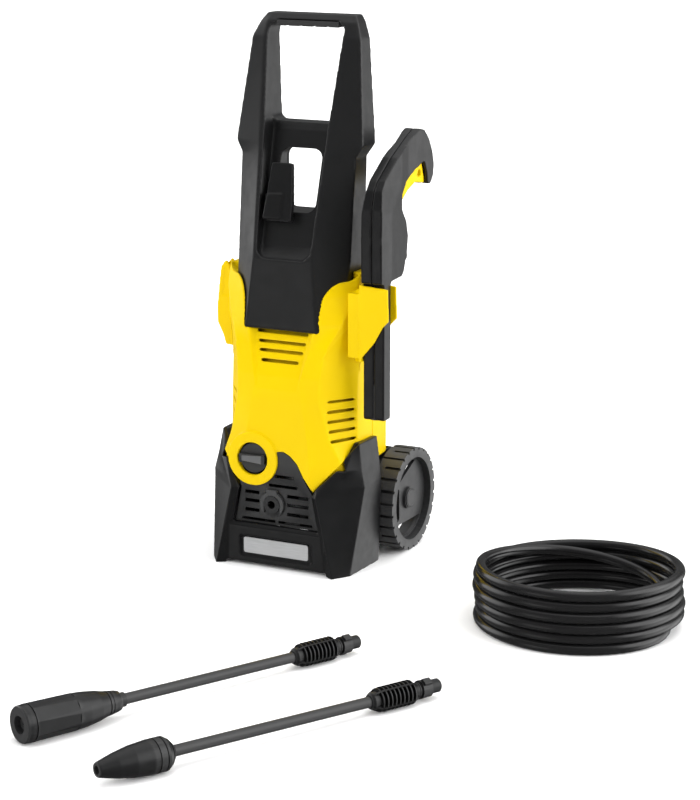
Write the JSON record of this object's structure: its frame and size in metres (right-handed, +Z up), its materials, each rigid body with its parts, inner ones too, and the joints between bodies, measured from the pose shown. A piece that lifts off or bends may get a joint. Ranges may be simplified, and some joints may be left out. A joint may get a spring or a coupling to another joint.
{
  "type": "pressure washer",
  "caption": "Upright wheeled electric pressure washer with casing, carrying handle, holstered trigger gun, a vario lance, a rotary-jet lance and a coiled high-pressure hose.",
  "frame": {"origin": "on the floor under the machine, on its mirror plane and midway between the front of its feet and the back of its wheels", "axes": "+Z up, -Y to the machine's front, +X to the right seen from the front; the machine's mirror plane is x = 0"},
  "size_m": [0.6458, 0.8947, 0.677],
  "materials": {
    "black_plastic": "fine spark-eroded moulding, satin",
    "handle_plastic": "satin dark grey moulding",
    "yellow_plastic": "satin moulded yellow",
    "wheel_plastic": "matt moulding with a soft tread",
    "badge_silver": "plain brushed silver plate, no lettering",
    "grey_plastic": "satin grey",
    "soft_grip": "soft ribbed rubber",
    "hose_rubber": "smooth black hose, slightly glossy",
    "steel": "ground steel",
    "copper_wire": "enamelled copper windings",
    "cast_aluminium": "die cast",
    "brass": "turned brass",
    "carbon": "graphite"
  },
  "bodies": {
    "machine": {"base_housing": "black_plastic", "front_grille": "black_plastic", "badge_plate": "badge_silver", "front_casing": "yellow_plastic", "rear_casing": "yellow_plastic", "handle_frame": "handle_plastic", "handle_rear_cover": "black_plastic", "grip_insert": "soft_grip", "hose_hook": "handle_plastic", "gun_holster": "yellow_plastic", "lance_holder": "yellow_plastic", "switch_body": "black_plastic", "outlet_fitting": "black_plastic", "inlet_fitting": "black_plastic", "inlet_strainer": "steel", "cable_gland": "soft_grip", "motor_housing": "grey_plastic", "motor_stator": "steel", "motor_windings": "copper_wire", "motor_bearings": "steel", "carbon_brushes": "carbon", "wobble_plate": "steel", "piston_springs": "steel", "pump_block": "cast_aluminium", "pump_head": "cast_aluminium", "pressure_switch": "grey_plastic", "noise_capacitor": "grey_plastic", "wheel_axle": "steel", "casing_screws": "steel"},
    "rotor": {"motor_rotor": "steel", "motor_fan": "grey_plastic"},
    "piston_a": {"piston_1": "steel"},
    "piston_b": {"piston_2": "steel"},
    "piston_c": {"piston_3": "steel"},
    "switch": {"switch_knob": "black_plastic"},
    "clip": {"outlet_clip": "grey_plastic"},
    "right_wheel": {"wheel_right": "wheel_plastic", "hub_cap_right": "wheel_plastic"},
    "left_wheel": {"wheel_left": "wheel_plastic", "hub_cap_left": "wheel_plastic"},
    "gun": {"gun_shell_left": "black_plastic", "gun_shell_right": "black_plastic", "trigger_pin": "steel", "gun_valve": "brass", "lance_socket": "black_plastic"},
    "trigger": {"gun_trigger": "yellow_plastic"},
    "release": {"hose_release": "yellow_plastic"},
    "vario_lance": {"vario_tube": "black_plastic", "vario_grip": "soft_grip", "vario_plug": "black_plastic", "vario_nozzle": "black_plastic"},
    "vario_sleeve": {"vario_head": "black_plastic"},
    "blaster_lance": {"blaster_tube": "black_plastic", "blaster_grip": "soft_grip", "blaster_plug": "black_plastic", "blaster_head": "black_plastic"},
    "blaster_spinner": {"blaster_rotor": "brass"},
    "hose": {"hose_coil": "hose_rubber", "hose_machine_plug": "black_plastic", "hose_gun_plug": "black_plastic"}
  },
  "joints": [
    {"name": "rotor_spin", "type": "hinge", "parent": "machine", "child": "rotor", "pos_m": [0, -0.022, 0.2], "axis": [0, 0, 1], "continuous": true},
    {"name": "piston_1_stroke", "type": "slide", "parent": "machine", "child": "piston_a", "axis": [0, 0, -1], "range_m": [0, 0.0076], "stiffness_N_per_m": 800, "springref_m": -0.004},
    {"name": "piston_2_stroke", "type": "slide", "parent": "machine", "child": "piston_b", "axis": [0, 0, -1], "range_m": [0, 0.0019], "stiffness_N_per_m": 800, "springref_m": -0.004},
    {"name": "piston_3_stroke", "type": "slide", "parent": "machine", "child": "piston_c", "axis": [0, 0, -1], "range_m": [0, 0.0019], "stiffness_N_per_m": 800, "springref_m": -0.004},
    {"name": "switch_turn", "type": "hinge", "parent": "machine", "child": "switch", "pos_m": [-0.032, -0.1, 0.1386], "axis": [0, 1, 0], "range_deg": [0, 90]},
    {"name": "outlet_clip_release", "type": "slide", "parent": "machine", "child": "clip", "axis": [0, 0, 1], "range_m": [0, 0.003], "stiffness_N_per_m": 600},
    {"name": "right_wheel_spin", "type": "hinge", "parent": "machine", "child": "right_wheel", "pos_m": [0.103, 0.0487, 0.0657], "axis": [1, 0, 0], "continuous": true},
    {"name": "left_wheel_spin", "type": "hinge", "parent": "machine", "child": "left_wheel", "pos_m": [-0.103, 0.0487, 0.0657], "axis": [1, 0, 0], "continuous": true},
    {"name": "gun_lift", "type": "slide", "parent": "machine", "child": "gun", "axis": [0, 0, 1], "range_m": [0, 0.15]},
    {"name": "trigger_pull", "type": "hinge", "parent": "gun", "child": "trigger", "pos_m": [0.118, -0.012, 0.474], "axis": [1, 0, 0], "range_deg": [0, 7], "stiffness_Nm_per_rad": 6, "springref_deg": -5.73},
    {"name": "hose_release_push", "type": "slide", "parent": "gun", "child": "release", "axis": [0, 0, -1], "range_m": [0, 0.004], "stiffness_N_per_m": 600, "springref_m": -0.002},
    {"name": "vario_lance_lift", "type": "slide", "parent": "machine", "child": "vario_lance", "axis": [0, 0, 1], "range_m": [0, 0.2]},
    {"name": "vario_sleeve_twist", "type": "hinge", "parent": "vario_lance", "child": "vario_sleeve", "pos_m": [0.05109, -0.67321, 0.01992], "axis": [0.4398, 0.8979, -0.0189], "range_deg": [0, 180]},
    {"name": "blaster_lance_lift", "type": "slide", "parent": "machine", "child": "blaster_lance", "axis": [0, 0, 1], "range_m": [0, 0.2]},
    {"name": "blaster_rotor_spin", "type": "hinge", "parent": "blaster_lance", "child": "blaster_spinner", "pos_m": [0.1809, -0.73299, 0.01804], "axis": [0.478, 0.8783, -0.0143], "continuous": true},
    {"name": "hose_lift", "type": "slide", "parent": "machine", "child": "hose", "axis": [0, 0, 1], "range_m": [0, 0.2]}
  ]
}
